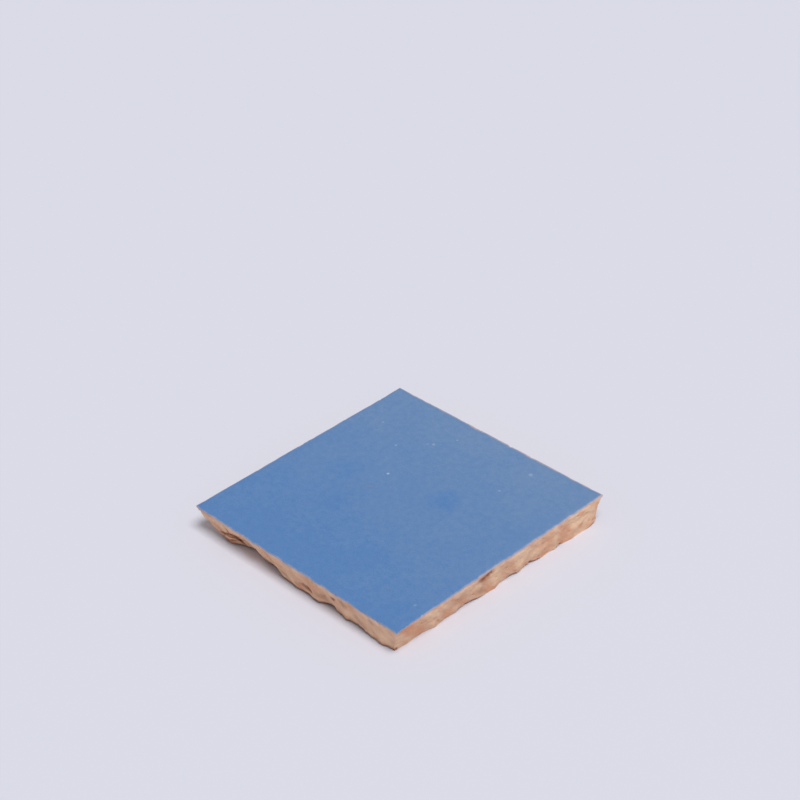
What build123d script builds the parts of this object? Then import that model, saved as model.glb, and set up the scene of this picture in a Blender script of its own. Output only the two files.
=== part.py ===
"""A loose zellige tile: a hand-cut square of fired clay, glazed on its face, its four sides chiselled back.

The glazed face is on top and the plain back lies on the floor. The origin is at the middle of the back, +X
runs along the left-front side, +Y along the right-front side and +Z up to the glaze. All sizes are in
millimetres.
"""

import os
from collections import namedtuple

from build123d import *

# The face, out of square as a hand-cut tile is: its overall size, and how far each corner falls short of the
# rectangle that the face would fill.
face_length = 100.8
face_width = 101.0
left_corner_lag = 0.7
front_corner_lag = 1.7
back_corner_lag_x = 2.2
back_corner_lag_y = 0.7

thickness = 11.0

# How far in from the face's corner each corner of the back lies, along X and along Y.
left_inset_x = 3.6
left_inset_y = 2.4
front_inset_x = 2.4
front_inset_y = 0.6
right_inset_x = 0.1
right_inset_y = 3.0
back_inset_x = 3.0
back_inset_y = 2.6

# How far each chisel blow bites into the glazed edge where it lands.
arris_bite = 0.12
# How far a cutter runs on past the face and the back.
overrun = thickness / 2

# One chisel blow: where it lands on the side's back edge, as a share from the side's first corner to its
# second, how wide the scar is there, how deep it bites past the line between the back's corners, and how far
# its head lies further along the side than its foot.
Scar = namedtuple("Scar", "share width bite slant")

# A flake sprang out below the arris and left a dished hollow: its middle's share along the side and height
# above the back, its radius, and how deep it goes in from the straight-cut side at that height.
Flake = namedtuple("Flake", "share height radius depth")

# A gouge starts as nothing and ends in a step: its middle's share and height, its length along the side, its
# radius, its depth at the step, and how far the step lies above its start.
Gouge = namedtuple("Gouge", "share height length radius depth climb")

# A nick is an arch broken out of the back edge: its middle's share, its width, and its height over the floor.
Nick = namedtuple("Nick", "share width height")

# How far in from the straight-cut side a nick reaches.
nick_reach = 4.5

left_front_cuts = [
    Scar(0.07, 11.0, 0.6, 1.5),
    Scar(0.225, 23.0, 4.1, 1.0),
    Scar(0.32, 20.0, 2.6, 1.0),
    Scar(0.45, 9.0, 0.4, -2.5),
    Scar(0.53, 9.0, 0.6, 3.0),
    Scar(0.665, 10.5, 2.0, -1.5),
    Scar(0.705, 9.0, 1.3, 2.5),
    Scar(0.80, 12.0, 1.2, -3.5),
    Scar(0.87, 8.0, 0.4, 3.0),
    Scar(0.985, 9.0, 1.0, -2.5),
    Gouge(0.163, 3.9, 7.0, 0.8, 5.5, -3.6),
    Gouge(0.547, 4.2, 6.5, 0.7, 1.5, -0.6),
    Nick(0.40, 6.0, 0.6),
    Nick(0.60, 4.0, 0.4),
    Nick(0.76, 7.0, 0.7),
]
right_front_cuts = [
    Scar(0.02, 13.0, 0.9, 1.5),
    Scar(0.115, 14.0, 1.0, -3.5),
    Scar(0.255, 12.0, 0.8, 2.5),
    Scar(0.335, 11.0, 1.2, -2.5),
    Scar(0.425, 9.0, 0.3, 3.0),
    Scar(0.535, 11.0, 1.1, -3.5),
    Scar(0.635, 9.0, 0.9, 3.0),
    Scar(0.745, 8.0, 0.6, -3.0),
    Scar(0.815, 9.0, 0.5, 2.0),
    Scar(0.90, 9.0, 0.2, -2.0),
    Gouge(0.415, 8.8, 7.0, 1.3, 0.8, 0.3),
    Gouge(0.90, 7.4, 6.5, 1.2, 0.5, -0.8),
    Gouge(0.97, -1.2, 12.0, 3.0, 1.0, 3.0),
    Nick(0.31, 4.0, 0.7),
    Nick(0.405, 5.0, 0.5),
    Nick(0.57, 6.0, 0.9),
    Nick(0.665, 6.5, 0.7),
    Nick(0.80, 5.0, 0.4),
]
right_back_cuts = [
    Scar(0.03, 15.0, 1.4, 1.5),
    Scar(0.17, 14.0, 0.9, -3.0),
    Scar(0.31, 17.0, 1.8, 2.5),
    Scar(0.45, 11.0, 0.7, -2.5),
    Scar(0.57, 14.0, 1.3, 3.0),
    Scar(0.71, 15.0, 0.8, -3.5),
    Scar(0.84, 12.0, 1.7, 2.0),
    Scar(0.95, 9.0, 0.8, -2.0),
    Flake(0.02, 4.4, 7.5, 1.9),
    Flake(0.38, 2.4, 7.5, 2.3),
    Flake(0.80, 0.6, 7.0, 3.0),
    Gouge(0.62, 6.0, 12.0, 1.6, 1.2, 1.0),
    Nick(0.25, 6.0, 0.7),
    Nick(0.62, 8.0, 1.0),
]
left_back_cuts = [
    Scar(0.06, 12.0, 0.9, 2.0),
    Scar(0.18, 13.0, 1.4, -3.0),
    Scar(0.32, 16.0, 0.8, 2.5),
    Scar(0.46, 13.0, 2.0, -2.0),
    Scar(0.60, 14.0, 1.0, 3.0),
    Scar(0.73, 14.0, 2.3, -2.5),
    Scar(0.955, 34.0, 8.2, 0.0),
    Flake(0.50, 1.2, 7.5, 3.0),
    Flake(0.74, 0.8, 8.5, 4.0),
    Gouge(0.22, 5.6, 14.0, 1.8, 1.4, -1.5),
    Nick(0.30, 8.0, 0.9),
    Nick(0.62, 6.0, 0.7),
]
sides = [left_front_cuts, right_front_cuts, right_back_cuts, left_back_cuts]

# The corners run left, front, right and back, so that each side starts at the corner with its own number.
half_length = face_length / 2
half_width = face_width / 2
face_corners = [
    Vector(-half_length, -half_width + left_corner_lag, thickness),
    Vector(half_length - front_corner_lag, -half_width, thickness),
    Vector(half_length, half_width, thickness),
    Vector(-half_length + back_corner_lag_x, half_width - back_corner_lag_y, thickness),
]
insets = [
    Vector(left_inset_x, left_inset_y, -thickness),
    Vector(-front_inset_x, front_inset_y, -thickness),
    Vector(-right_inset_x, -right_inset_y, -thickness),
    Vector(back_inset_x, -back_inset_y, -thickness),
]
back_corners = [corner + inset for corner, inset in zip(face_corners, insets)]


def point_on_side(side, share, height):
    """The point on one straight-cut side, at a share of its length and a height above the back."""
    following = (side + 1) % len(sides)
    on_back = back_corners[side] + (back_corners[following] - back_corners[side]) * share
    on_face = face_corners[side] + (face_corners[following] - face_corners[side]) * share
    return on_back + (on_face - on_back) * (height / thickness)


def circle_radius(width, height):
    """The radius of the circle whose arc is so wide and so high."""
    return ((width / 2) ** 2 + height**2) / (2 * height)


def outline(height, corners):
    """A level four-sided outline through the corners."""
    with BuildSketch(Plane.XY.offset(height)) as sketch:
        with BuildLine():
            Polyline([(corner.X, corner.Y) for corner in corners], close=True)
        make_face()
    return sketch.sketch


back_outline = outline(0, back_corners)
face_outline = outline(thickness, face_corners)


def directions(side):
    """Along one side of the face, and level out of it."""
    run = (point_on_side(side, 1, thickness) - point_on_side(side, 0, thickness)).normalized()
    return run, Vector(run.Y, -run.X, 0)


def scar_bar(side, scar):
    """The round bar that a chisel blow takes away: it nips the arris and runs down and in past the back."""
    run, out = directions(side)
    radius = circle_radius(scar.width, scar.bite)
    head = point_on_side(side, scar.share, thickness) - out * arris_bite + run * scar.slant
    foot = point_on_side(side, scar.share, 0) - out * scar.bite
    stroke = (foot - head).normalized()
    middle = stroke.cross(run).normalized() * radius
    return head + middle - stroke * overrun, foot + middle + stroke * overrun, radius


def gouge_bar(side, gouge):
    """The bar of a gouge: it lies on the side's surface at its start and sinks square in to its step."""
    run = directions(side)[0]
    up = (point_on_side(side, gouge.share, thickness) - point_on_side(side, gouge.share, 0)).normalized()
    out = run.cross(up).normalized()
    middle = point_on_side(side, gouge.share, gouge.height) + out * gouge.radius
    reach = run * (gouge.length / 2) + up * (gouge.climb / 2)
    return middle - reach, middle + reach - out * gouge.depth, gouge.radius


def nick_bar(side, nick):
    """The bar of a nick: it lies level across the back edge, mostly under the floor."""
    run, out = directions(side)
    radius = circle_radius(nick.width, nick.height)
    middle = point_on_side(side, nick.share, 0) + Vector(0, 0, nick.height - radius)
    return middle + out * nick_reach, middle - out * nick_reach, radius


bars = {Scar: scar_bar, Gouge: gouge_bar, Nick: nick_bar}

with BuildPart() as tile:
    loft([back_outline, face_outline], ruled=True)

    for side, cuts in enumerate(sides):
        for cut in cuts:
            if isinstance(cut, Flake):
                out = directions(side)[1]
                with Locations(point_on_side(side, cut.share, cut.height) + out * (cut.radius - cut.depth)):
                    Sphere(cut.radius, mode=Mode.SUBTRACT)
            else:
                start, end, radius = bars[type(cut)](side, cut)
                with BuildSketch(Plane(origin=start, z_dir=end - start)):
                    Circle(radius)
                extrude(amount=(end - start).length, mode=Mode.SUBTRACT)

tile.part.label = "tile"
os.makedirs("parts", exist_ok=True)
export_step(tile.part, "parts/tile.step")
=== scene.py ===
"""Builds a loose zellige tile: fired clay chiselled back along its four sides, under a cloudy blue glaze.

The tile's solid is the frame. Its outer shape is read from the frame by level rays, column by column round
the tile, and a Geometry Nodes tree then breaks the clay's surface and makes the glaze gently uneven.
"""

import math
from collections import namedtuple

import bmesh
import bpy
import numpy as np
from mathutils import Euler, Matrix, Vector
from mathutils.bvhtree import BVHTree
from mathutils.geometry import delaunay_2d_cdt


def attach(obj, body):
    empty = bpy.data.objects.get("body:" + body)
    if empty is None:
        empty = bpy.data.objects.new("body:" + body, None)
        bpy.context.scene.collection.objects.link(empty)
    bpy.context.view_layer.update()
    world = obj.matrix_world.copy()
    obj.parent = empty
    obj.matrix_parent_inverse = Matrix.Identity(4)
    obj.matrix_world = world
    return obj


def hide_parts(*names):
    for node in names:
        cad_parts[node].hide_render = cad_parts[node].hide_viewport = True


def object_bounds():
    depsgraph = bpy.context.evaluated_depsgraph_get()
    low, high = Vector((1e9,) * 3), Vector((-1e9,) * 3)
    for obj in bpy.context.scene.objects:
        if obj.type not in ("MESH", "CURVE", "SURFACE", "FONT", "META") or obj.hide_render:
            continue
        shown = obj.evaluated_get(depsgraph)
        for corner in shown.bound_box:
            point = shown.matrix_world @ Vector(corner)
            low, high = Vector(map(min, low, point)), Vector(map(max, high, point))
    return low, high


bl_info = {
    "name": "Zellige Tile",
    "version": (1, 0, 0),
    "blender": (4, 5, 0),
    "location": "3D View > Sidebar > Tile",
    "description": "Makes a hand-cut glazed clay tile and the plain stage that it lies on",
    "category": "Add Mesh",
}

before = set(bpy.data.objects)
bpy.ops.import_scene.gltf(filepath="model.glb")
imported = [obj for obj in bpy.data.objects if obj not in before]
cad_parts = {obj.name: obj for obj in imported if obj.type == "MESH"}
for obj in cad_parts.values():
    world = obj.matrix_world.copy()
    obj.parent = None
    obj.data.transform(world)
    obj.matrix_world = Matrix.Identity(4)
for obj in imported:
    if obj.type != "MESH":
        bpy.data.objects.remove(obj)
solid_low, solid_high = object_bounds()
mm = 0.001

# A mark on the glaze: its place on the face and its radius, in millimetres, and how strongly it shows.
GlazeMark = namedtuple("GlazeMark", "x y radius strength")
white_specks = [
    GlazeMark(-13.8, 8.7, 0.7, 0.5),
    GlazeMark(-13.8, 32.1, 0.8, 0.24),
    GlazeMark(-15.4, 30.8, 0.8, 0.1),
    GlazeMark(-37.1, 29.7, 0.6, 0.2),
    GlazeMark(-23.6, 22.6, 0.6, 0.25),
    GlazeMark(-9.2, 39.6, 0.5, 0.3),
    GlazeMark(24.2, 42.0, 1.2, 0.2),
    GlazeMark(22.3, 27.7, 0.6, 0.22),
    GlazeMark(43.5, -36.6, 0.8, 0.14),
]
brown_specks = [
    GlazeMark(-14.1, -1.7, 0.9, 0.25),
    GlazeMark(-13.3, -0.9, 0.9, 0.35),
    GlazeMark(-12.6, -0.2, 0.8, 0.25),
    GlazeMark(30.7, -36.2, 0.8, 0.35),
    GlazeMark(26.5, -41.1, 0.7, 0.25),
    GlazeMark(38.9, 39.4, 0.6, 0.4),
]
deep_clouds = [
    GlazeMark(12.4, 11.5, 9.0, 1.0),
    GlazeMark(-15.8, -16.5, 9.0, 0.4),
    GlazeMark(-23.8, -39.1, 10.0, 0.5),
    GlazeMark(6.8, -38.5, 11.0, 0.5),
    GlazeMark(39.2, -43.0, 7.0, 0.5),
    GlazeMark(-26.0, 3.0, 10.0, 0.4),
    GlazeMark(15.0, -30.0, 10.0, 0.35),
    GlazeMark(43.0, 14.0, 9.0, 0.4),
]
pale_clouds = [
    GlazeMark(-4.0, 42.0, 12.0, 0.5),
    GlazeMark(30.0, 40.0, 16.0, 0.3),
    GlazeMark(34.0, -22.0, 10.0, 0.3),
]

# A mark on a broken side: the side, its middle's share along it, its height over the floor, its length along
# the side and its width, how far it rises over its length, all in millimetres, and how strongly it shows.
ClayMark = namedtuple("ClayMark", "side share height length width rise strength")
left_front, right_front, right_back, left_back = range(4)
rust_and_shade_marks = [
    # The first three are the dark lines in the left-front slit: rust with painted shade, the shade under the
    # slit's lip.
    ClayMark(left_front, 0.178, 4.8, 5.4, 3.2, -5.0, 1.7),
    ClayMark(left_front, 0.130, 4.4, 7.0, 1.8, 2.8, 1.1),
    ClayMark(left_front, 0.150, 2.1, 7.0, 1.1, 1.5, 1.0),
    ClayMark(left_front, 0.550, 3.8, 6.0, 1.7, -0.6, 0.8),
    ClayMark(left_front, 0.505, 3.2, 3.0, 1.2, -0.5, 0.4),
    ClayMark(left_front, 0.433, 3.9, 5.5, 2.2, -1.2, 0.35),
    ClayMark(left_front, 0.624, 4.2, 6.0, 3.2, -2.2, 0.5),
    ClayMark(left_front, 0.683, 6.7, 3.0, 2.2, 1.5, 1.2),
    ClayMark(left_front, 0.737, 8.0, 4.0, 3.4, 0.0, 0.5),
    ClayMark(left_front, 0.820, 4.0, 7.0, 3.4, -1.6, 0.4),
    ClayMark(left_front, 0.877, 8.1, 3.0, 1.6, -0.4, 0.35),
    # Painted shade: these two darken the left-front side along its foot.
    ClayMark(left_front, 0.55, 0.0, 140.0, 3.0, 0.0, 1.1),
    ClayMark(left_front, 0.07, 0.0, 26.0, 3.6, 0.0, 1.3),
    ClayMark(right_front, 0.404, 8.9, 4.6, 2.7, 0.0, 1.0),
    ClayMark(right_front, 0.432, 9.1, 5.0, 2.7, 0.0, 1.0),
    ClayMark(right_front, 0.398, 3.4, 5.5, 3.4, -2.5, 0.45),
    ClayMark(right_front, 0.300, 5.0, 9.0, 2.8, -1.7, 0.3),
    ClayMark(right_back, 0.62, 6.2, 9.0, 1.8, 0.8, 0.9),
    ClayMark(left_back, 0.22, 5.8, 10.0, 2.0, -1.0, 0.9),
]
blush_marks = [
    ClayMark(right_front, 0.058, 9.6, 6.5, 4.0, 0.0, 0.9),
    ClayMark(right_front, 0.125, 5.5, 5.0, 7.0, -5.0, 0.25),
    ClayMark(right_front, 0.528, 6.4, 7.5, 9.0, -3.0, 0.25),
    ClayMark(right_front, 0.720, 6.0, 6.5, 9.0, -3.0, 0.4),
    ClayMark(right_front, 0.815, 5.4, 7.0, 6.0, -5.5, 0.4),
    ClayMark(right_front, 0.888, 9.2, 4.0, 1.8, 0.0, 0.9),
    ClayMark(right_front, 0.888, 3.6, 3.0, 1.9, 0.0, 0.8),
    ClayMark(left_front, 0.11, 5.0, 7.0, 3.0, -2.0, 0.15),
    ClayMark(left_back, 0.55, 9.0, 18.0, 5.0, 0.0, 0.7),
    ClayMark(right_back, 0.30, 8.5, 16.0, 5.0, 0.0, 0.6),
]
cream_marks = [
    ClayMark(left_front, 0.482, 3.3, 4.5, 2.4, 0.3, 0.8),
    ClayMark(left_front, 0.735, 4.0, 7.5, 3.0, -0.4, 0.6),
    ClayMark(left_front, 0.90, 9.4, 26.0, 2.6, 0.0, 0.3),
    ClayMark(left_front, 0.66, 9.6, 22.0, 2.6, 0.0, 0.5),
    ClayMark(left_front, 0.08, 8.0, 16.0, 4.0, 0.0, 0.6),
    ClayMark(left_front, 0.925, 4.6, 6.5, 5.0, -2.0, 0.5),
    ClayMark(right_front, 0.190, 7.6, 10.0, 4.0, -1.5, 0.6),
    ClayMark(right_front, 0.390, 5.8, 5.0, 3.0, -1.0, 0.4),
    ClayMark(right_front, 0.465, 6.2, 6.5, 7.0, -2.0, 0.9),
    ClayMark(right_front, 0.595, 5.8, 6.5, 9.0, -3.0, 0.9),
    ClayMark(right_front, 0.660, 4.0, 6.0, 4.0, 1.0, 0.5),
    ClayMark(right_front, 0.765, 7.0, 3.0, 8.0, -3.0, 0.5),
    ClayMark(right_front, 0.892, 6.2, 9.5, 10.0, -2.0, 1.0),
]
# Hollows broken in under the cleanest side's lower edge.
hollow_marks = [
    ClayMark(right_front, 0.362, 0.0, 8.0, 1.7, 0.0, 1.0),
    ClayMark(right_front, 0.562, 0.0, 6.0, 1.5, 0.0, 1.0),
    ClayMark(right_front, 0.668, 0.0, 6.5, 1.7, 0.0, 1.0),
]

# How close the solid's points are merged, how far inside its face and its back the level rays keep, and how
# far outside the arris they start.
weld_distance = 0.001 * mm
ray_margin = 0.005 * mm
ray_start = 10 * mm
# How far in from the arris the face's two outer rings of points lie, and how far past the broken foot the
# back's ring does.
face_rings = (1.4 * mm, 0.7 * mm)
foot_margin = 0.9 * mm
# The torn streaks run down the sides aslant: the cosine and the sine of their angle.
tear_cosine = 0.74
tear_sine = 0.67


def srgb(red, green, blue):
    """A colour given from 0 to 255, as a shader takes it."""
    shares = [channel / 255 for channel in (red, green, blue)]
    return tuple(((s + 0.055) / 1.055) ** 2.4 if s > 0.04045 else s / 12.92 for s in shares)


class TileSizes(bpy.types.PropertyGroup):
    """How finely the tile is modelled, and the relief of its clay and its glaze."""

    column_step: bpy.props.FloatProperty(
        name="Column step", description="Spacing of the mesh along the arris", default=0.32 * mm,
        min=0.1 * mm, unit="LENGTH")
    row_step: bpy.props.FloatProperty(
        name="Row step", description="Spacing of the mesh up the broken sides", default=0.33 * mm,
        min=0.1 * mm, unit="LENGTH")
    face_step: bpy.props.FloatProperty(
        name="Face step", description="Spacing of the mesh across the glazed face", default=0.75 * mm,
        min=0.3 * mm, unit="LENGTH")
    back_step: bpy.props.FloatProperty(
        name="Back step", description="Spacing of the mesh across the back", default=1.4 * mm,
        min=0.3 * mm, unit="LENGTH")
    grain_depth: bpy.props.FloatProperty(
        name="Grain depth", description="Depth of the clay's broken grain", default=0.07 * mm, unit="LENGTH")
    grain_size: bpy.props.FloatProperty(
        name="Grain size", description="Width of one lump of the grain", default=0.9 * mm, unit="LENGTH")
    lump_depth: bpy.props.FloatProperty(
        name="Lump depth", description="Depth of the broken clay's larger lumps", default=0.35 * mm,
        unit="LENGTH")
    lump_size: bpy.props.FloatProperty(
        name="Lump size", description="Width of one of the larger lumps", default=4.5 * mm, unit="LENGTH")
    tear_depth: bpy.props.FloatProperty(
        name="Tear depth", description="Depth of the torn streaks down the sides", default=0.1 * mm,
        unit="LENGTH")
    tear_length: bpy.props.FloatProperty(
        name="Tear length", description="Length of one torn streak", default=4.0 * mm, unit="LENGTH")
    tear_width: bpy.props.FloatProperty(
        name="Tear width", description="Width of one torn streak", default=1.3 * mm, unit="LENGTH")
    pit_depth: bpy.props.FloatProperty(
        name="Pit depth", description="Depth of the pits in the clay", default=0.4 * mm, unit="LENGTH")
    pit_spacing: bpy.props.FloatProperty(
        name="Pit spacing", description="Distance from pit to pit", default=2.4 * mm, unit="LENGTH")
    ledge_depth: bpy.props.FloatProperty(
        name="Ledge depth", description="How far the clay is set back under its smooth upper band",
        default=0.2 * mm, unit="LENGTH")
    ledge_width: bpy.props.FloatProperty(
        name="Ledge width", description="Height of the smooth upper band", default=3.6 * mm, unit="LENGTH")
    foot_depth: bpy.props.FloatProperty(
        name="Foot depth", description="How far the lower edge is broken back", default=2.2 * mm,
        unit="LENGTH")
    foot_width: bpy.props.FloatProperty(
        name="Foot width", description="Height of the broken lower edge", default=0.5 * mm, unit="LENGTH")
    mark_depth: bpy.props.FloatProperty(
        name="Mark depth", description="Extra depth of the rusty marks", default=0.12 * mm, unit="LENGTH")
    wave_depth: bpy.props.FloatProperty(
        name="Wave depth", description="How far the glazed face dips", default=0.22 * mm, unit="LENGTH")
    wave_length: bpy.props.FloatProperty(
        name="Wave length", description="Distance from dip to dip on the face", default=30 * mm,
        unit="LENGTH")
    edge_fall: bpy.props.FloatProperty(
        name="Edge fall", description="How far the glaze falls at the arris", default=0.22 * mm,
        unit="LENGTH")
    edge_width: bpy.props.FloatProperty(
        name="Edge width", description="Width of the glaze's fall at the arris", default=1.5 * mm,
        unit="LENGTH")
    chip_depth: bpy.props.FloatProperty(
        name="Chip depth", description="How far a chip reaches in from the arris", default=0.35 * mm,
        unit="LENGTH")
    chip_spacing: bpy.props.FloatProperty(
        name="Chip spacing", description="Distance from chip to chip along the arris", default=3.5 * mm,
        unit="LENGTH")
    back_relief: bpy.props.FloatProperty(
        name="Back relief", description="Depth of the back's unevenness", default=0.25 * mm, unit="LENGTH")
    seed: bpy.props.IntProperty(name="Seed", description="Changes the broken surface", default=4)


class TileColours(bpy.types.PropertyGroup):
    """The colours of the glaze and of the clay."""

    glaze_deep: bpy.props.FloatVectorProperty(
        name="Deep glaze", description="Where the glaze lies thick", subtype="COLOR",
        default=srgb(73, 127, 190))
    # The pale glaze is partly painted sheen: greyer blue standing in for a soft reflection.
    glaze_pale_and_sheen: bpy.props.FloatVectorProperty(
        name="Pale glaze", description="Where the glaze is thin and greyer", subtype="COLOR",
        default=srgb(105, 141, 187))
    glaze_edge: bpy.props.FloatVectorProperty(
        name="Glaze edge", description="The thin glaze right at the arris", subtype="COLOR",
        default=srgb(180, 173, 188))
    speck_white: bpy.props.FloatVectorProperty(
        name="White specks", description="Grains of white in the glaze", subtype="COLOR",
        default=srgb(214, 222, 226))
    speck_brown: bpy.props.FloatVectorProperty(
        name="Brown specks", description="Grains of rust in the glaze", subtype="COLOR",
        default=srgb(146, 136, 130))
    clay: bpy.props.FloatVectorProperty(
        name="Clay", description="The fired clay", subtype="COLOR", default=srgb(229, 180, 150))
    clay_cream: bpy.props.FloatVectorProperty(
        name="Pale clay", description="The clay's paler patches", subtype="COLOR",
        default=srgb(244, 205, 171))
    clay_red: bpy.props.FloatVectorProperty(
        name="Red clay", description="The clay's redder patches", subtype="COLOR",
        default=srgb(229, 162, 120))
    clay_blush: bpy.props.FloatVectorProperty(
        name="Clay blush", description="The reddest clay, under the arris", subtype="COLOR",
        default=srgb(218, 144, 108))
    # The rust colour also paints the shade in the left-front slit, along the left-front foot and towards the
    # floor.
    clay_rust_and_shade: bpy.props.FloatVectorProperty(
        name="Rust", description="Burnt clay in gouges and pits", subtype="COLOR", default=srgb(138, 76, 50))


class StageSizes(bpy.types.PropertyGroup):
    """The floor, the lamp and the camera."""

    floor_size: bpy.props.FloatProperty(
        name="Floor size", description="Side of the square floor", default=6.0, unit="LENGTH")
    floor_colour: bpy.props.FloatVectorProperty(
        name="Floor", description="Colour of the floor and the backdrop", subtype="COLOR",
        default=srgb(219, 220, 232))
    lens: bpy.props.FloatProperty(
        name="Lens", description="Focal length in millimetres on a 36 mm sensor", default=101.5)
    camera_place: bpy.props.FloatVectorProperty(
        name="Camera place", description="Where the camera stands", subtype="TRANSLATION",
        default=(447.3 * mm, -436.2 * mm, 490.55 * mm))
    camera_turn: bpy.props.FloatVectorProperty(
        name="Camera turn", description="How the camera is turned", subtype="EULER",
        default=tuple(math.radians(angle) for angle in (55.016, 1.635, 44.419)))
    sky_strength: bpy.props.FloatProperty(
        name="Sky", description="Share of the floor's light that comes from all round", default=0.34)
    lamp_strength: bpy.props.FloatProperty(
        name="Lamp", description="Share of the floor's light that comes from the lamp", default=0.65)
    lamp_width: bpy.props.FloatProperty(
        name="Lamp width", description="How wide the lamp is, seen from the tile", subtype="ANGLE",
        default=math.radians(28))
    lamp_direction: bpy.props.FloatVectorProperty(
        name="Lamp direction", description="Where the lamp lies", subtype="DIRECTION",
        default=(0.35, -0.09, 0.93))


class Value:
    """A node's output, so that node maths reads as Python."""

    def __init__(self, maker, socket):
        self.maker = maker
        self.socket = socket

    def __add__(self, other):
        return self.maker.math("ADD", self, other)

    def __sub__(self, other):
        return self.maker.math("SUBTRACT", self, other)

    def __rsub__(self, other):
        return self.maker.math("SUBTRACT", other, self)

    def __mul__(self, other):
        return self.maker.math("MULTIPLY", self, other)

    def __truediv__(self, other):
        return self.maker.math("DIVIDE", self, other)

    def __rtruediv__(self, other):
        return self.maker.math("DIVIDE", other, self)

    __radd__ = __add__
    __rmul__ = __mul__


class NodeMaker:
    """Adds nodes to one tree, for a material or for Geometry Nodes."""

    def __init__(self, tree):
        self.tree = tree
        self.tree.nodes.clear()

    def add(self, kind, settings=None, values=None, output=0):
        """Adds a node, sets it up, fills its sockets with values or links, and returns one output."""
        node = self.tree.nodes.new(kind)
        for name, setting in (settings or {}).items():
            setattr(node, name, setting)
        for key, value in (values or {}).items():
            if isinstance(value, Value):
                self.tree.links.new(value.socket, node.inputs[key])
            else:
                node.inputs[key].default_value = value
        if not node.outputs:
            return node
        return Value(self, node.outputs[output])

    def math(self, operation, *values):
        return self.add("ShaderNodeMath", {"operation": operation}, dict(enumerate(values)))

    def vector_math(self, operation, values, output=0):
        return self.add("ShaderNodeVectorMath", {"operation": operation}, values, output)

    def vector(self, x, y, z):
        return self.add("ShaderNodeCombineXYZ", {}, {0: x, 1: y, 2: z})

    def parts(self, vector):
        """The three numbers of a vector."""
        split = self.add("ShaderNodeSeparateXYZ", {}, {0: vector}).socket.node
        return [Value(self, socket) for socket in split.outputs]

    def scaled(self, vector, factor):
        return self.vector_math("SCALE", {0: vector, "Scale": factor})

    def shifted(self, vector, shift):
        return self.vector_math("ADD", {0: vector, 1: shift})

    def noise(self, vector, detail=2.0, roughness=0.5, output=0):
        """Noise whose lumps are one unit of the vector wide."""
        values = {"Vector": vector, "Scale": 1.0, "Detail": detail, "Roughness": roughness}
        return self.add("ShaderNodeTexNoise", {}, values, output)

    def cells(self, vector):
        """The distance from the nearest of some scattered spots, which lie one unit of the vector apart."""
        return self.add("ShaderNodeTexVoronoi", {}, {"Vector": vector, "Scale": 1.0})

    def smooth(self, value, low, high):
        """0 where the value is low or less, 1 where it is high or more, and a soft step between."""
        return self.add(
            "ShaderNodeMapRange", {"interpolation_type": "SMOOTHSTEP"}, {0: value, 1: low, 2: high})

    def clipped(self, value):
        return self.math("MINIMUM", self.math("MAXIMUM", value, 0.0), 1.0)

    def mix(self, factor, first, second):
        """A colour between two colours."""
        first, second = [c if isinstance(c, Value) else (*c, 1.0) for c in (first, second)]
        return self.add("ShaderNodeMix", {"data_type": "RGBA"}, {0: factor, 6: first, 7: second}, 2)

    def attribute(self, name):
        """A number that the mesh carries at its points."""
        if self.tree.type == "GEOMETRY":
            return self.add("GeometryNodeInputNamedAttribute", {"data_type": "FLOAT"}, {"Name": name})
        return self.add("ShaderNodeAttribute", {"attribute_name": name}, {}, "Fac")


def tile_corners(points):
    """The face's four corners, left, front, right and back, from the solid's points."""
    face = points[points[:, 2] > solid_high.z - 0.01 * mm][:, :2]
    diagonals = np.array([(-1, -1), (1, -1), (1, 1), (-1, 1)])
    return np.array([face[np.argmax(face @ diagonal)] for diagonal in diagonals])


def read_outline(tree, border, middle, height):
    """Where level rays from outside the tile towards its middle meet the solid at one height."""
    found = []
    for place in border:
        inwards = Vector((*(middle - place), 0)).normalized()
        hit = tree.ray_cast(Vector((*place, height)) - inwards * ray_start, inwards)[0]
        if hit is None:
            raise RuntimeError(f"no solid at {tuple(place)} and height {height}")
        found.append(hit.xy)
    return np.array(found)


def inset_distances(points, corners):
    """How far points lie in from the arris of each of the four sides."""
    distances = []
    for corner, following in zip(corners, np.roll(corners, -1, axis=0)):
        run = (following - corner) / np.linalg.norm(following - corner)
        inward = np.array([-run[1], run[0]])
        distances.append((points[:, :2] - corner) @ inward)
    return np.array(distances)


def fill_ring(ring, step):
    """A net of triangles inside a ring of points: the points that it adds and the triangles' corners."""
    middle = ring.mean(axis=0)
    low, high = ring.min(axis=0), ring.max(axis=0)
    across = np.arange(low[0] + step / 2, high[0], step)
    along = np.arange(low[1] + step / 2, high[1], step)
    grid = np.array(np.meshgrid(across, along)).reshape(2, -1).T
    ring_turn = np.unwrap(np.arctan2(*(ring - middle).T[::-1]))
    ring_reach = np.linalg.norm(ring - middle, axis=1)
    grid_turn = np.arctan2(*(grid - middle).T[::-1])
    grid_turn = ring_turn[0] + (grid_turn - ring_turn[0]) % math.tau
    reach = np.interp(grid_turn, ring_turn, ring_reach, period=math.tau)
    inner = grid[np.linalg.norm(grid - middle, axis=1) < reach - 0.75 * step]
    flat = [Vector(point) for point in np.concatenate([ring, inner]) / mm]
    outline = [list(range(len(ring)))]
    points, _, triangles, origins, _, _ = delaunay_2d_cdt(flat, [], outline, 1, 1e-6)
    if len(points) != len(flat):
        raise RuntimeError("the net moved its points")
    return inner, [[origins[corner][0] for corner in triangle] for triangle in triangles]


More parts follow.
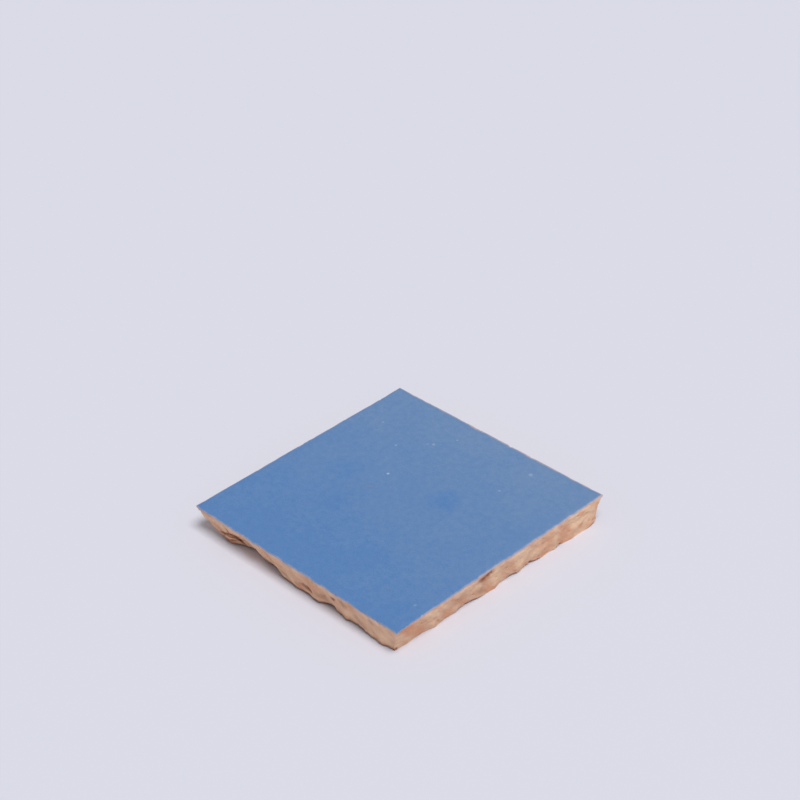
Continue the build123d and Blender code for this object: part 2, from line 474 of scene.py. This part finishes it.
def marked(points, corners, marks):
    """How strongly each point of the clay shows the marks of the side that it lies nearest to.

    A mark shows fully in its middle, out to 0.4 of its reach, and is gone at 1.4 of it.
    """
    shown = np.zeros(len(points))
    nearest = np.argmin(inset_distances(points, corners), axis=0)
    for mark in marks:
        corner, following = corners[mark.side], corners[(mark.side + 1) % 4]
        length = np.linalg.norm(following - corner)
        run = (following - corner) / length
        along = (points[:, :2] - corner) @ run - mark.share * length
        up = points[:, 2] - mark.height * mm - along / (mark.length * mm) * mark.rise * mm
        reach = np.hypot(along / (mark.length / 2 * mm), up / (mark.width / 2 * mm))
        shown = np.maximum(shown, mark.strength * np.clip(1.4 - reach, 0, 1) * (nearest == mark.side))
    return shown


def broken_shell(sizes):
    """A closed mesh of the tile's outer shape, whose points carry their place and the marks on them.

    A point's place is its distance around the tile and its distance in from the arris on the face, which
    counts as negative down the sides and on the back.
    """
    merged = bmesh.new()
    merged.from_mesh(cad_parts["tile"].data)
    bmesh.ops.remove_doubles(merged, verts=merged.verts, dist=weld_distance)
    solid = BVHTree.FromBMesh(merged)
    corners = tile_corners(np.array([vertex.co for vertex in merged.verts]))
    merged.free()

    middle = corners.mean(axis=0)
    runs = np.roll(corners, -1, axis=0) - corners
    columns = round(np.linalg.norm(runs, axis=1).mean() / sizes.column_step)
    shares = np.arange(columns) / columns
    border = np.concatenate([corner + shares[:, None] * run for corner, run in zip(corners, runs)])
    steps = np.linalg.norm(np.roll(border, -1, axis=0) - border, axis=1)
    place_along = np.concatenate([[0], np.cumsum(steps)[:-1]])
    inwards = (middle - border) / np.linalg.norm(middle - border, axis=1)[:, None]

    thickness = solid_high.z
    rows = round(thickness / sizes.row_step)
    heights = thickness * np.arange(rows, -1, -1) / rows
    inside = np.clip(heights, ray_margin, thickness - ray_margin)
    outlines = [read_outline(solid, border, middle, height) for height in inside]

    # The rings beside the arris and the lower edge lie further in than a chip or the broken foot reaches.
    rings = [(outlines[0] + inwards * inset, thickness, inset) for inset in face_rings]
    rings += [(outline, height, height - thickness) for outline, height in zip(outlines, heights)]
    rings += [(outlines[-1] + inwards * (sizes.foot_depth + foot_margin), 0.0, -2 * thickness)]
    count = len(border)
    points = [np.column_stack([flat, np.full(count, height)]) for flat, height, _ in rings]
    arris = [np.full(count, distance) for _, _, distance in rings]
    faces = []
    for ring in range(len(rings) - 1):
        for column in range(count):
            following = (column + 1) % count
            start, end = ring * count, (ring + 1) * count
            faces.append([start + column, end + column, end + following, start + following])

    for ring, step, height, on_face in (
            (0, sizes.face_step, thickness, True), (len(rings) - 1, sizes.back_step, 0.0, False)):
        inner, triangles = fill_ring(rings[ring][0], step)
        first_inner = sum(len(part) for part in points) - count
        for triangle in triangles:
            faces.append([corner + (ring * count if corner < count else first_inner) for corner in triangle])
        points.append(np.column_stack([inner, np.full(len(inner), height)]))
        far = np.full(len(inner), -2 * thickness)
        arris.append(inset_distances(inner, corners).min(axis=0) if on_face else far)

    points, arris = np.concatenate(points), np.concatenate(arris)
    mesh = bpy.data.meshes.new("tile_shell")
    mesh.from_pydata(points.tolist(), [], faces)
    fair = bmesh.new()
    fair.from_mesh(mesh)
    bmesh.ops.recalc_face_normals(fair, faces=fair.faces)
    fair.to_mesh(mesh)
    fair.free()
    around = np.zeros(len(points))
    around[:len(rings) * count] = np.tile(place_along, len(rings))
    carried = {
        "arris": arris,
        "around": around,
        "stain_and_shade": marked(points, corners, rust_and_shade_marks),
        "blush": marked(points, corners, blush_marks),
        "cream": marked(points, corners, cream_marks),
        "hollow": marked(points, corners, hollow_marks),
    }
    for name, values in carried.items():
        mesh.attributes.new(name, "FLOAT", "POINT").data.foreach_set("value", values.astype(np.float32))
    return mesh


def input_label(name):
    """The name of the relief tree's input for one of the tile's sizes."""
    return name.replace("_", " ").capitalize()


def torn_streaks(make, around, height, length, width, seed):
    """Noise that is drawn out into streaks, which run down a side aslant."""
    along = (around * tear_cosine - height * tear_sine) / length
    across = (around * tear_sine + height * tear_cosine) / width
    return make.noise(make.vector(along, across, seed), 2.0, 0.55)


def relief_tree(sizes):
    """The Geometry Nodes tree that breaks the clay, chips the arris and makes the glaze uneven."""
    tree = bpy.data.node_groups.new("fired_clay_relief", "GeometryNodeTree")
    make = NodeMaker(tree)
    tree.interface.new_socket("Geometry", in_out="INPUT", socket_type="NodeSocketGeometry")
    tree.interface.new_socket("Finish", in_out="INPUT", socket_type="NodeSocketMaterial")
    # Each of the tile's sizes is an input of the tree, but for the mesh's steps.
    endings = ("depth", "size", "length", "width", "spacing", "fall", "relief")
    lengths = [name for name in sizes.bl_rna.properties.keys() if name.endswith(endings)]
    for name in lengths:
        socket = tree.interface.new_socket(input_label(name), in_out="INPUT", socket_type="NodeSocketFloat")
        socket.subtype = "DISTANCE"
    tree.interface.new_socket("Seed", in_out="INPUT", socket_type="NodeSocketFloat")
    tree.interface.new_socket("Geometry", in_out="OUTPUT", socket_type="NodeSocketGeometry")
    given = make.add("NodeGroupInput").socket.node
    size = {name: Value(make, given.outputs[input_label(name)]) for name in lengths}
    # Each seed takes every noise from another stretch of it.
    seed = Value(make, given.outputs["Seed"]) * 17.31

    position = make.add("GeometryNodeInputPosition")
    normal = make.add("GeometryNodeInputNormal")
    height = make.parts(position)[2]
    facing = make.parts(normal)[2]
    arris, around, stain_and_shade = [make.attribute(name) for name in ("arris", "around", "stain_and_shade")]
    seeded = make.vector(seed, seed, seed)

    # The clay's side, from just under the arris down.
    clay = make.smooth(arris, -0.25 * mm, -1.6 * mm)
    over_floor = make.smooth(height, 0.0, 0.5 * mm)
    grain = make.noise(make.shifted(make.scaled(position, 1 / size["grain_size"]), seeded), 3.0, 0.6)
    lump = make.noise(make.shifted(make.scaled(position, 1 / size["lump_size"]), seeded), 1.0)
    tear = torn_streaks(make, around, height, size["tear_length"], size["tear_width"], seed)
    pit_place = make.shifted(make.scaled(position, 1 / size["pit_spacing"]), seeded)
    pit = make.smooth(make.cells(pit_place), 0.3, 0.08) * make.smooth(lump, 0.45, 0.6)
    ledge_line_length = 9 * mm
    ledge_line = make.noise(make.vector(around / ledge_line_length, seed, 1.0), 3.0, 0.6)
    set_back = make.smooth(arris + size["ledge_width"] * (0.4 + ledge_line * 1.2), 0.0, -0.5 * mm)
    depth = (
        size["grain_depth"] * (make.smooth(grain, 0.35, 0.7) - 0.5)
        + size["lump_depth"] * (make.smooth(lump, 0.3, 0.7) - 0.5)
        + size["tear_depth"] * (make.smooth(tear, 0.48, 0.62) - 0.4)
        + size["pit_depth"] * pit
        + size["ledge_depth"] * (set_back - 0.8)
        + size["mark_depth"] * stain_and_shade
    ) * clay * over_floor
    broken = make.scaled(normal, depth * -1.0)

    # The lower edge is broken back a little, unevenly, so that the tile stands off the floor there. The
    # right-front side, the cleanest cut, is spared but for its hollows. The points inside the back, which
    # count as two thicknesses from the arris, stay where they are.
    foot_line_length = 6 * mm
    foot_line = make.noise(make.vector(around / foot_line_length, seed, 2.0), 3.0, 0.6)
    foot = make.smooth(height, size["foot_width"] * (0.3 + foot_line * 1.4), 0.0)
    side_only = make.smooth(arris, -1.5 * solid_high.z, -1.2 * solid_high.z)
    towards_right = make.smooth(make.parts(normal)[0], 0.25, 0.55)
    hollow = make.smooth(make.attribute("hollow"), 0.35, 0.9)
    foot = side_only * make.math("MAXIMUM", foot * (1 - towards_right), hollow)

    # Chips reach in from the arris at uneven places.
    chip_place = make.vector(around / size["chip_spacing"], seed, 0.0)
    chip_reach = size["chip_depth"] * make.smooth(make.noise(chip_place, 3.0, 0.7), 0.57, 0.77)
    beside = make.math("ABSOLUTE", arris)
    chipped = make.math("MAXIMUM", chip_reach - beside * 0.6, 0.0)
    inward = make.vector_math("NORMALIZE", {0: make.scaled(position, -1.0)})
    inward = make.vector_math("MULTIPLY", {0: inward, 1: (1.0, 1.0, 0.0)})
    chip_in = make.scaled(inward, chipped * make.smooth(arris, 0.3 * mm, 0.0) + foot * size["foot_depth"])
    chip_down = make.vector(0.0, 0.0, chipped * -0.8)

    # The glazed face dips gently and falls at the arris.
    wave_place = make.shifted(make.scaled(position, 1 / size["wave_length"]), seeded)
    wave = size["wave_depth"] * make.smooth(make.noise(wave_place, 1.0), 0.3, 0.7)
    fall = size["edge_fall"] * make.smooth(beside, size["edge_width"], 0.0)
    dip = make.vector(0.0, 0.0, (wave + fall) * (height / solid_high.z) * -1.0)

    # The back is a little uneven.
    under = make.smooth(facing, -0.7, -0.95) * make.smooth(height, 0.2 * mm, 0.0)
    back_place = make.shifted(make.scaled(position, 1 / (size["lump_size"] * 2.0)), seeded)
    lift = size["back_relief"] * make.smooth(make.noise(back_place, 4.0, 0.6), 0.45, 0.7)
    raised = make.vector(0.0, 0.0, lift * under)

    offset = make.shifted(make.shifted(broken, chip_in), make.shifted(chip_down, make.shifted(dip, raised)))
    place = make.shifted(position, offset)
    place = make.vector_math("MINIMUM", {0: place, 1: tuple(solid_high)})
    place = make.vector_math("MAXIMUM", {0: place, 1: tuple(solid_low)})
    shell = Value(make, given.outputs["Geometry"])
    moved = make.add("GeometryNodeSetPosition", {}, {"Geometry": shell, "Position": place})

    # The glaze runs a little way down the left-front side, further towards the front corner, and stops at the
    # arris of the right-front side.
    x, y, _ = make.parts(position)
    right_hand = make.smooth(x + y, 0.0, 8 * mm)
    left_drape, right_drape = 0.5 * mm + x * 0.003, 0.02 * mm - y * 0.004
    drape = left_drape * (1 - right_hand) + right_drape * right_hand
    wander_length, wander_depth = 6 * mm, 1.2 * mm
    wander = (make.noise(make.vector(around / wander_length, seed, 4.0), 2.0) - 0.5) * wander_depth
    wobble_length, wobble_depth = 1.3 * mm, 0.7 * mm
    wobble_place = make.vector(around / wobble_length, seed, height / wobble_length)
    wobble = (make.noise(wobble_place, 2.0) - 0.5) * wobble_depth
    kept = make.add(
        "GeometryNodeStoreNamedAttribute", {"data_type": "FLOAT", "domain": "POINT"},
        {"Geometry": moved, "Name": "glaze_line", "Value": arris - chip_reach + wobble + wander + drape})

    joined = make.add("GeometryNodeRealizeInstances", {}, {"Geometry": kept})
    finish = Value(make, given.outputs["Finish"])
    finished = make.add("GeometryNodeSetMaterial", {}, {"Geometry": joined, "Material": finish})
    make.add("NodeGroupOutput", {}, {"Geometry": finished})
    return tree, lengths


def relieved(shell, finish, sizes):
    """A plain mesh of the shell with the relief tree's result."""
    tree, lengths = relief_tree(sizes)
    blank = bpy.data.objects.new("tile_blank", shell)
    bpy.context.scene.collection.objects.link(blank)
    modifier = blank.modifiers.new("relief", "NODES")
    modifier.node_group = tree
    sockets = {item.name: item.identifier for item in tree.interface.items_tree if item.in_out == "INPUT"}
    for name in lengths:
        modifier[sockets[input_label(name)]] = getattr(sizes, name)
    modifier[sockets["Seed"]] = float(sizes.seed)
    modifier[sockets["Finish"]] = finish
    evaluated = blank.evaluated_get(bpy.context.evaluated_depsgraph_get())
    mesh = bpy.data.meshes.new_from_object(evaluated)
    blank.modifiers.remove(modifier)
    bpy.data.objects.remove(blank)
    mesh.name = "glazed_tile"
    return mesh


def soft_spots(make, place, marks, softness):
    """How strongly some round marks show at a place on the face, from 0 to 1."""
    total = 0.0
    for mark in marks:
        distance = make.vector_math("DISTANCE", {0: place, 1: (mark.x, mark.y, 0.0)}, 1)
        total = make.smooth(distance, mark.radius, mark.radius * softness) * mark.strength + total
    return make.clipped(total)


def glaze_colour(make, colours, place):
    """The cloudy blue of the glaze, with its specks and a painted sheen towards the right-back side."""
    x, y, _ = make.parts(place)
    on_face = make.vector(x, y, 0.0)
    drift = make.noise(make.scaled(on_face, 1 / 9.0), 2.0, 0.5, 1)
    wandered = make.shifted(on_face, make.scaled(make.shifted(drift, (-0.5, -0.5, -0.5)), 9.0))
    x, y, _ = make.parts(wandered)
    wandered = make.vector(x, y, 0.0)
    cloud = make.noise(make.scaled(on_face, 1 / 16.0), 4.0, 0.55) - 0.5
    stipple = make.noise(make.scaled(on_face, 1 / 0.55), 3.0, 0.7) - 0.5
    mottle = make.noise(make.scaled(on_face, 1 / 2.4), 2.0, 0.6) - 0.5
    # The glaze is palest along the right-back side: partly the glaze's own cloudy tone, partly painted sheen,
    # a soft reflection painted in as paler, greyer blue.
    pale = (
        0.35 + y * 0.0078 + x * 0.0010 + cloud * 0.65 + mottle * 0.42 + stipple * 0.5
        - soft_spots(make, wandered, deep_clouds, 0.2) * 0.5
        + soft_spots(make, wandered, pale_clouds, 0.1) * 0.3
    )
    colour = make.mix(make.clipped(pale), colours.glaze_deep, colours.glaze_pale_and_sheen)
    shade = make.clipped(0.5 + stipple * 1.1 + mottle * 0.5)
    colour = make.mix(0.15, colour, make.mix(shade, (0.0, 0.0, 0.0), (0.5, 0.55, 0.62)))
    pinholes = make.smooth(make.cells(make.scaled(on_face, 1 / 1.6)), 0.16, 0.07)
    pinholes = pinholes * make.smooth(make.noise(make.scaled(on_face, 1 / 6.0)), 0.5, 0.62)
    colour = make.mix(pinholes * 0.3, colour, colours.speck_brown)
    colour = make.mix(soft_spots(make, on_face, brown_specks, 0.2), colour, colours.speck_brown)
    return make.mix(soft_spots(make, on_face, white_specks, 0.3), colour, colours.speck_white)


def clay_colour(make, colours, place, around):
    """The fired clay: broad pale and red patches, blotches, grain, dark flecks, the marks, and painted shade
    near the floor.
    """
    stain_and_shade, blush, cream = [make.attribute(name) for name in ("stain_and_shade", "blush", "cream")]
    height = make.parts(place)[2]
    slanted = make.vector((around + height * 0.9) / 7.5, (height - around * 0.1) / 14.0, 3.0)
    patches = make.noise(slanted, 1.0, 0.45)
    blotches = make.noise(make.vector((around + height * 0.6) / 3.2, height / 2.6, 7.0), 3.0, 0.5)
    streaks = torn_streaks(make, around, height, 4.0, 1.1, 5.0)
    grain = make.noise(make.scaled(place, 1 / 0.8), 2.0, 0.6)
    pale = (
        make.smooth(patches, 0.42, 0.62) * 0.5 + make.smooth(blotches, 0.4, 0.7) * 0.4
        + (streaks - 0.5) * 0.7 + (grain - 0.5) * 0.5 + cream * 0.8
    )
    colour = make.mix(make.clipped(pale), colours.clay, colours.clay_cream)
    red = make.smooth(patches, 0.5, 0.34) * 0.5 + make.smooth(blotches, 0.5, 0.3) * 0.4 - cream * 0.8
    colour = make.mix(make.clipped(red), colour, colours.clay_red)
    colour = make.mix(make.clipped(blush * (0.3 + streaks)), colour, colours.clay_blush)
    flecks = make.smooth(make.cells(make.scaled(place, 1 / 1.9)), 0.2, 0.06)
    flecks = flecks * make.smooth(blotches, 0.5, 0.38)
    # Painted shade: the clay darkens towards the floor, most at its foot.
    low = make.smooth(height, 8.0, 0.0) * 0.1
    rust_and_painted_shade = stain_and_shade * (0.8 + (blotches - 0.5) * 0.8) + flecks * 0.3 + low * (0.4 + blotches)
    return make.mix(make.clipped(rust_and_painted_shade), colour, colours.clay_rust_and_shade)


def tile_finish(colours):
    """One material for the whole tile: satin glaze above the glaze line, bare fired clay below it."""
    material = bpy.data.materials.new("blue_glaze_on_fired_clay")
    material.use_nodes = True
    make = NodeMaker(material.node_tree)
    place = make.scaled(make.add("ShaderNodeTexCoord", {}, {}, "Object"), 1 / mm)
    around, glaze_line = [make.attribute(name) * (1 / mm) for name in ("around", "glaze_line")]
    glazed = make.smooth(glaze_line, -1.1, 0.3)
    thick = make.smooth(glaze_line, -0.3, 1.0)

    glaze = make.mix(thick, colours.glaze_edge, glaze_colour(make, colours, place))
    clay = clay_colour(make, colours, place, around)
    colour = make.mix(glazed, clay, glaze)

    peel = make.noise(make.scaled(place, 1 / 1.1), 3.0, 0.6)
    grit = make.noise(make.scaled(place, 1 / 0.35), 4.0, 0.7)
    height = peel * 0.02 * glazed + grit * 0.16 * (1 - glazed)
    bump = make.add("ShaderNodeBump", {}, {"Height": height, "Distance": 1 * mm, "Strength": 0.8}, "Normal")
    satin = 0.36 + (make.noise(make.scaled(place, 1 / 3.0), 2.0) - 0.5) * 0.2
    roughness = satin * glazed + 0.9 * (1 - glazed)
    surface = make.add("ShaderNodeBsdfPrincipled", {}, {
        "Base Color": colour, "Roughness": make.clipped(roughness), "Normal": bump, "IOR": 1.5})
    make.add("ShaderNodeOutputMaterial", {}, {"Surface": surface})
    return material


class TILE_OT_tile(bpy.types.Operator):
    """Make the glazed tile in place of its plain solid"""

    bl_idname = "zellige.tile"
    bl_label = "Glazed tile"

    def execute(self, context):
        sizes = context.scene.tile_sizes
        finish = tile_finish(context.scene.tile_colours)
        mesh = relieved(broken_shell(sizes), finish, sizes)
        mesh.shade_smooth()
        mesh.set_sharp_from_angle(angle=math.radians(38))
        tile = bpy.data.objects.new("glazed_tile", mesh)
        context.scene.collection.objects.link(tile)
        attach(tile, "root")
        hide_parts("tile")
        return {"FINISHED"}


def plain_material(name, colour, roughness):
    """A material of one colour."""
    material = bpy.data.materials.new(name)
    material.use_nodes = True
    make = NodeMaker(material.node_tree)
    surface = make.add("ShaderNodeBsdfPrincipled", {}, {"Base Color": (*colour, 1.0), "Roughness": roughness})
    make.add("ShaderNodeOutputMaterial", {}, {"Surface": surface})
    return material


class TILE_OT_stage(bpy.types.Operator):
    """Make the pale floor, the soft light and the camera"""

    bl_idname = "zellige.stage"
    bl_label = "Stage"

    def execute(self, context):
        scene = context.scene
        sizes = scene.tile_stage
        bpy.ops.mesh.primitive_plane_add(size=sizes.floor_size)
        floor = context.object
        floor.name = "floor"
        floor.data.materials.append(plain_material("pale_floor", sizes.floor_colour, 0.9))

        world = bpy.data.worlds.new("soft_sky")
        world.use_nodes = True
        make = NodeMaker(world.node_tree)
        sky = make.add(
            "ShaderNodeBackground", {}, {"Color": (1.0, 1.0, 1.0, 1.0), "Strength": sizes.sky_strength})
        make.add("ShaderNodeOutputWorld", {}, {"Surface": sky})
        scene.world = world

        towards = Vector(sizes.lamp_direction).normalized()
        light = bpy.data.lights.new("overhead_lamp", "SUN")
        light.angle = sizes.lamp_width
        # So strong, the lamp lights the floor as a sky of the same share does.
        light.energy = sizes.lamp_strength * math.pi / towards.z
        lamp = bpy.data.objects.new("overhead_lamp", light)
        lamp.rotation_euler = towards.to_track_quat("Z", "Y").to_euler()
        scene.collection.objects.link(lamp)

        camera = bpy.data.objects.new("camera", bpy.data.cameras.new("camera"))
        camera.data.lens = sizes.lens
        camera.location = sizes.camera_place
        camera.rotation_euler = Euler(sizes.camera_turn)
        scene.collection.objects.link(camera)
        scene.camera = camera
        scene.view_settings.view_transform = "Standard"
        return {"FINISHED"}


class TILE_PT_panel(bpy.types.Panel):
    """Lists the tile's pieces and its stage."""

    bl_label = "Zellige Tile"
    bl_idname = "TILE_PT_panel"
    bl_space_type = "VIEW_3D"
    bl_region_type = "UI"
    bl_category = "Tile"

    def draw(self, context):
        for operator in (TILE_OT_tile, TILE_OT_stage):
            self.layout.operator(operator.bl_idname)
        for group in ("tile_sizes", "tile_colours", "tile_stage"):
            box = self.layout.box()
            settings = getattr(context.scene, group)
            # The first two are Blender's own.
            for name in settings.bl_rna.properties.keys()[2:]:
                box.prop(settings, name)


classes = (TileSizes, TileColours, StageSizes, TILE_OT_tile, TILE_OT_stage, TILE_PT_panel)


def register():
    for item in classes:
        bpy.utils.register_class(item)
    bpy.types.Scene.tile_sizes = bpy.props.PointerProperty(type=TileSizes)
    bpy.types.Scene.tile_colours = bpy.props.PointerProperty(type=TileColours)
    bpy.types.Scene.tile_stage = bpy.props.PointerProperty(type=StageSizes)


def unregister():
    for name in ("tile_stage", "tile_colours", "tile_sizes"):
        delattr(bpy.types.Scene, name)
    for item in reversed(classes):
        bpy.utils.unregister_class(item)


def main():
    register()
    bpy.ops.zellige.tile()
    bpy.ops.zellige.stage()


if __name__ == "__main__":
    main()
